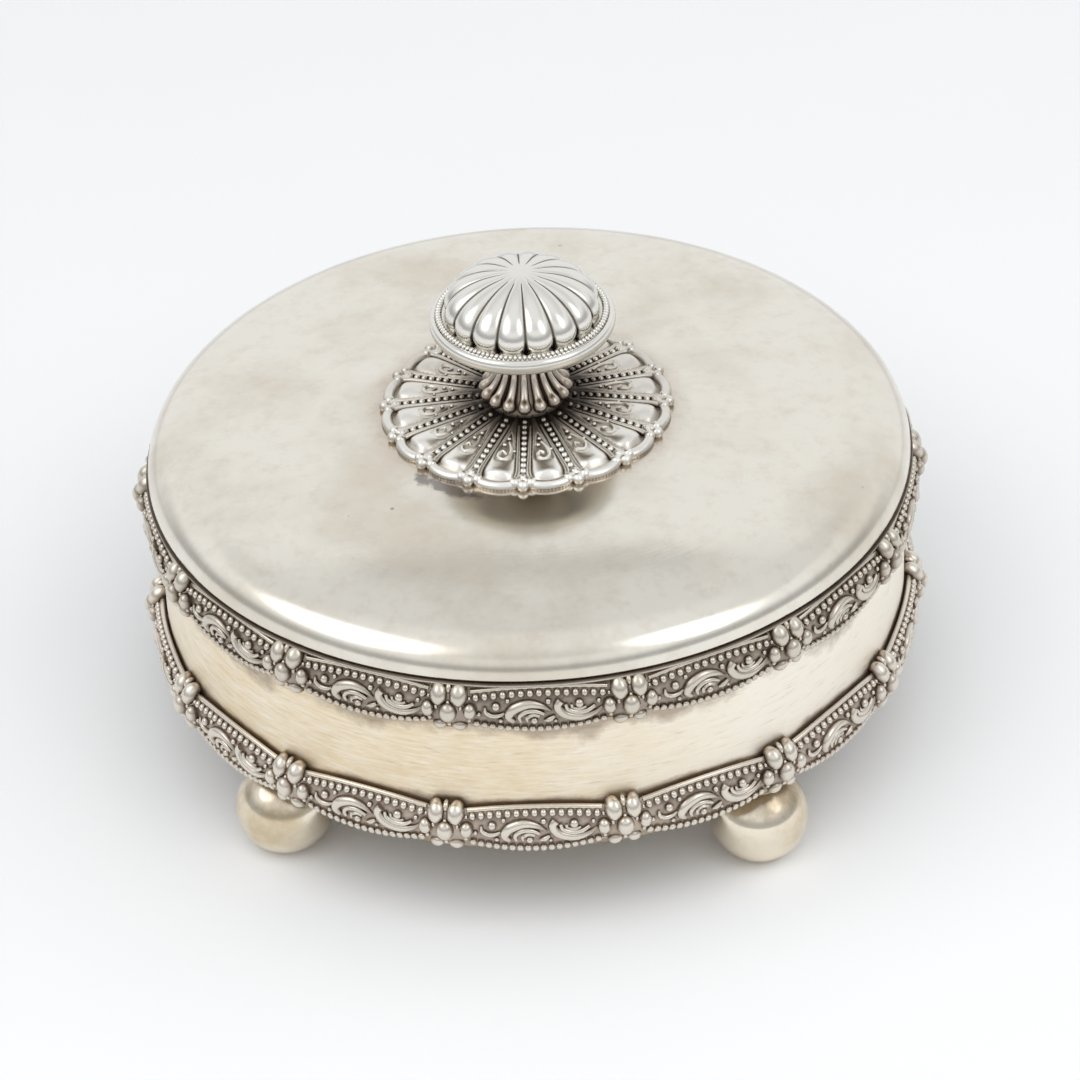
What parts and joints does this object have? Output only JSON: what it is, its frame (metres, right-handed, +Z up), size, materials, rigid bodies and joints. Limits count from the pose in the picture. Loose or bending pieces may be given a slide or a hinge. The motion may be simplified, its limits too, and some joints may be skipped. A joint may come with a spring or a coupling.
{
  "type": "lidded silver box",
  "caption": "Round silver table box with a lift-off domed lid, a melon knob on a petalled rosette, stamped berry borders and ball feet.",
  "frame": {"origin": "on the table, under the centre of the box", "axes": "+Z up along the box's axis, -Y the front, with a ball foot on each diagonal between X and Y"},
  "size_m": [0.1418, 0.1412, 0.0945],
  "materials": {
    "spun_silver": "spun and polished sterling silver with a thin warm tarnish film",
    "polished_silver": "hand-polished sterling silver",
    "brushed_silver": "rolled sterling silver sheet, worn with fine streaks along the roll and tarnished yellow",
    "oxidised_silver": "die-stamped sterling silver, dark oxide in the recesses and bright on the high points",
    "fixing_steel": "turned steel"
  },
  "bodies": {
    "box": {"foot_ball_front_right": "polished_silver", "foot_collet_front_right": "polished_silver", "foot_ball_back_right": "polished_silver", "foot_collet_back_right": "polished_silver", "foot_ball_back_left": "polished_silver", "foot_collet_back_left": "polished_silver", "foot_ball_front_left": "polished_silver", "foot_collet_front_left": "polished_silver", "base_plate": "brushed_silver", "drum_wall": "brushed_silver", "mouth_wire": "polished_silver", "upper_border": "oxidised_silver", "lower_border": "oxidised_silver"},
    "lid": {"lid_cover": "spun_silver", "lid_flange": "spun_silver", "rosette": "oxidised_silver", "knob_stem": "oxidised_silver", "knob_saucer": "polished_silver", "knob_beading": "polished_silver", "knob_cap": "polished_silver", "knob_stud": "fixing_steel", "knob_washer": "fixing_steel", "knob_nut": "fixing_steel"}
  },
  "joints": [
    {"name": "lid_lift", "type": "slide", "parent": "box", "child": "lid", "axis": [0, 0, 1], "range_m": [0, 0.06]}
  ]
}
